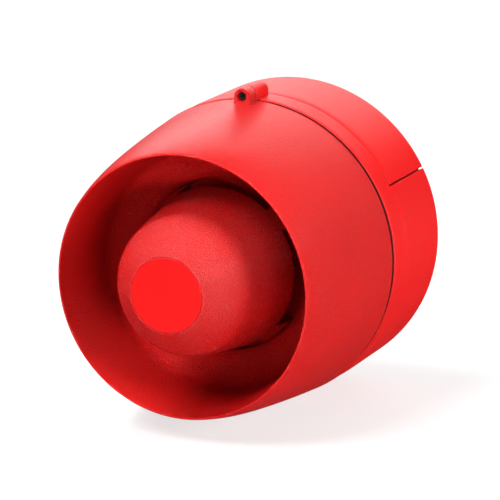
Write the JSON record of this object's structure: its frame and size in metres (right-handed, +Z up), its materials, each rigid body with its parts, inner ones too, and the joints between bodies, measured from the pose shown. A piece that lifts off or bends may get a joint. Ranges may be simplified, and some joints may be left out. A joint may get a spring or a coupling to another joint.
{
  "type": "alarm siren",
  "caption": "Round wall-mounted alarm siren with an open folded horn, a round-nosed centre body and a deep base with a lift-off entry cover.",
  "frame": {"origin": "centre of the base's mounting face, on the wall plane", "axes": "+Y into the wall, -Y out of the horn's mouth, +Z up, the lug on top"},
  "size_m": [0.166, 0.1741, 0.1719],
  "materials": {
    "red_textured": "fine spark-eroded grain",
    "red_smooth": "satin, smooth",
    "black_rubber": "matt",
    "dark_plastic": "matt",
    "board_green": "solder mask",
    "steel": "zinc plated",
    "ferrite": "ground ferrite",
    "aluminium": "machined",
    "brass": "bright",
    "copper": "enamelled copper",
    "white_plastic": "satin",
    "blue_plastic": "satin",
    "green_plastic": "satin",
    "film": "phenolic film"
  },
  "bodies": {
    "base": {"base_shell": "red_smooth", "joint_seal": "black_rubber", "base_board": "board_green", "base_board_screws": "steel", "terminal_block": "green_plastic", "terminal_screws": "steel", "contact_socket": "dark_plastic", "lug_insert": "brass", "cable_grommet": "black_rubber", "blanking_plug": "black_rubber"},
    "head": {"horn_shell": "red_textured", "reflector_bullet": "red_textured", "nose_disc": "red_smooth", "throat_plate": "red_textured", "throat_gasket": "black_rubber", "flange_screws": "steel", "ear_screws": "steel", "driver_front_plate": "aluminium", "diaphragm_ring": "dark_plastic", "top_pole_plate": "steel", "magnet_ring": "ferrite", "pole_yoke": "steel", "driver_cover": "dark_plastic", "driver_screws": "steel", "driver_terminals": "brass", "circuit_board": "board_green", "board_screws": "steel", "dip_switch_body": "blue_plastic", "trimmer_body": "blue_plastic", "transformer_core": "ferrite", "transformer_winding": "copper", "capacitors": "dark_plastic", "controller_chip": "dark_plastic", "contact_plug": "dark_plastic", "contact_pins": "brass"},
    "entry_cover": {"entry_cover": "red_smooth"},
    "trimmer_rotor": {"trimmer_rotor": "white_plastic"},
    "washer": {"screw_washer": "white_plastic"},
    "lug_screw": {"lug_screw": "steel"},
    "diaphragm_assembly": {"diaphragm": "film", "coil_former": "film", "voice_coil": "copper"},
    "tone_slider_1": {"dip_slider_1": "white_plastic"},
    "tone_slider_2": {"dip_slider_2": "white_plastic"},
    "tone_slider_3": {"dip_slider_3": "white_plastic"},
    "tone_slider_4": {"dip_slider_4": "white_plastic"},
    "tone_slider_5": {"dip_slider_5": "white_plastic"},
    "tone_slider_6": {"dip_slider_6": "white_plastic"}
  },
  "joints": [
    {"name": "head_release", "type": "slide", "parent": "base", "child": "head", "axis": [0, -1, 0], "range_m": [0, 0.1]},
    {"name": "entry_cover_lift", "type": "slide", "parent": "base", "child": "entry_cover", "axis": [0, 0, 1], "range_m": [0, 0.03]},
    {"name": "diaphragm_stroke", "type": "slide", "parent": "head", "child": "diaphragm_assembly", "axis": [0, -1, 0], "range_m": [-0.0004, 0.0004], "stiffness_N_per_m": 3000},
    {"name": "volume_turn", "type": "hinge", "parent": "head", "child": "trimmer_rotor", "pos_m": [0, -0.047, 0.034], "axis": [0, 1, 0], "range_deg": [-135, 135]},
    {"name": "screw_travel", "type": "slide", "parent": "head", "child": "washer", "axis": [0, -1, 0], "range_m": [0, 0.006]},
    {"name": "screw_turn", "type": "hinge", "parent": "washer", "child": "lug_screw", "pos_m": [0, -0.074, 0.0845], "axis": [0, -1, 0], "range_deg": [0, 4330]},
    {"name": "tone_slider_1_slide", "type": "slide", "parent": "head", "child": "tone_slider_1", "axis": [0, 0, 1], "range_m": [0, 0.0016]},
    {"name": "tone_slider_2_slide", "type": "slide", "parent": "head", "child": "tone_slider_2", "axis": [0, 0, 1], "range_m": [0, 0.0016]},
    {"name": "tone_slider_3_slide", "type": "slide", "parent": "head", "child": "tone_slider_3", "axis": [0, 0, 1], "range_m": [0, 0.0016]},
    {"name": "tone_slider_4_slide", "type": "slide", "parent": "head", "child": "tone_slider_4", "axis": [0, 0, 1], "range_m": [0, 0.0016]},
    {"name": "tone_slider_5_slide", "type": "slide", "parent": "head", "child": "tone_slider_5", "axis": [0, 0, 1], "range_m": [0, 0.0016]},
    {"name": "tone_slider_6_slide", "type": "slide", "parent": "head", "child": "tone_slider_6", "axis": [0, 0, 1], "range_m": [0, 0.0016]}
  ],
  "couplings": [
    {"joint": "screw_turn", "follows": "screw_travel", "rad_per_m": 12566}
  ]
}
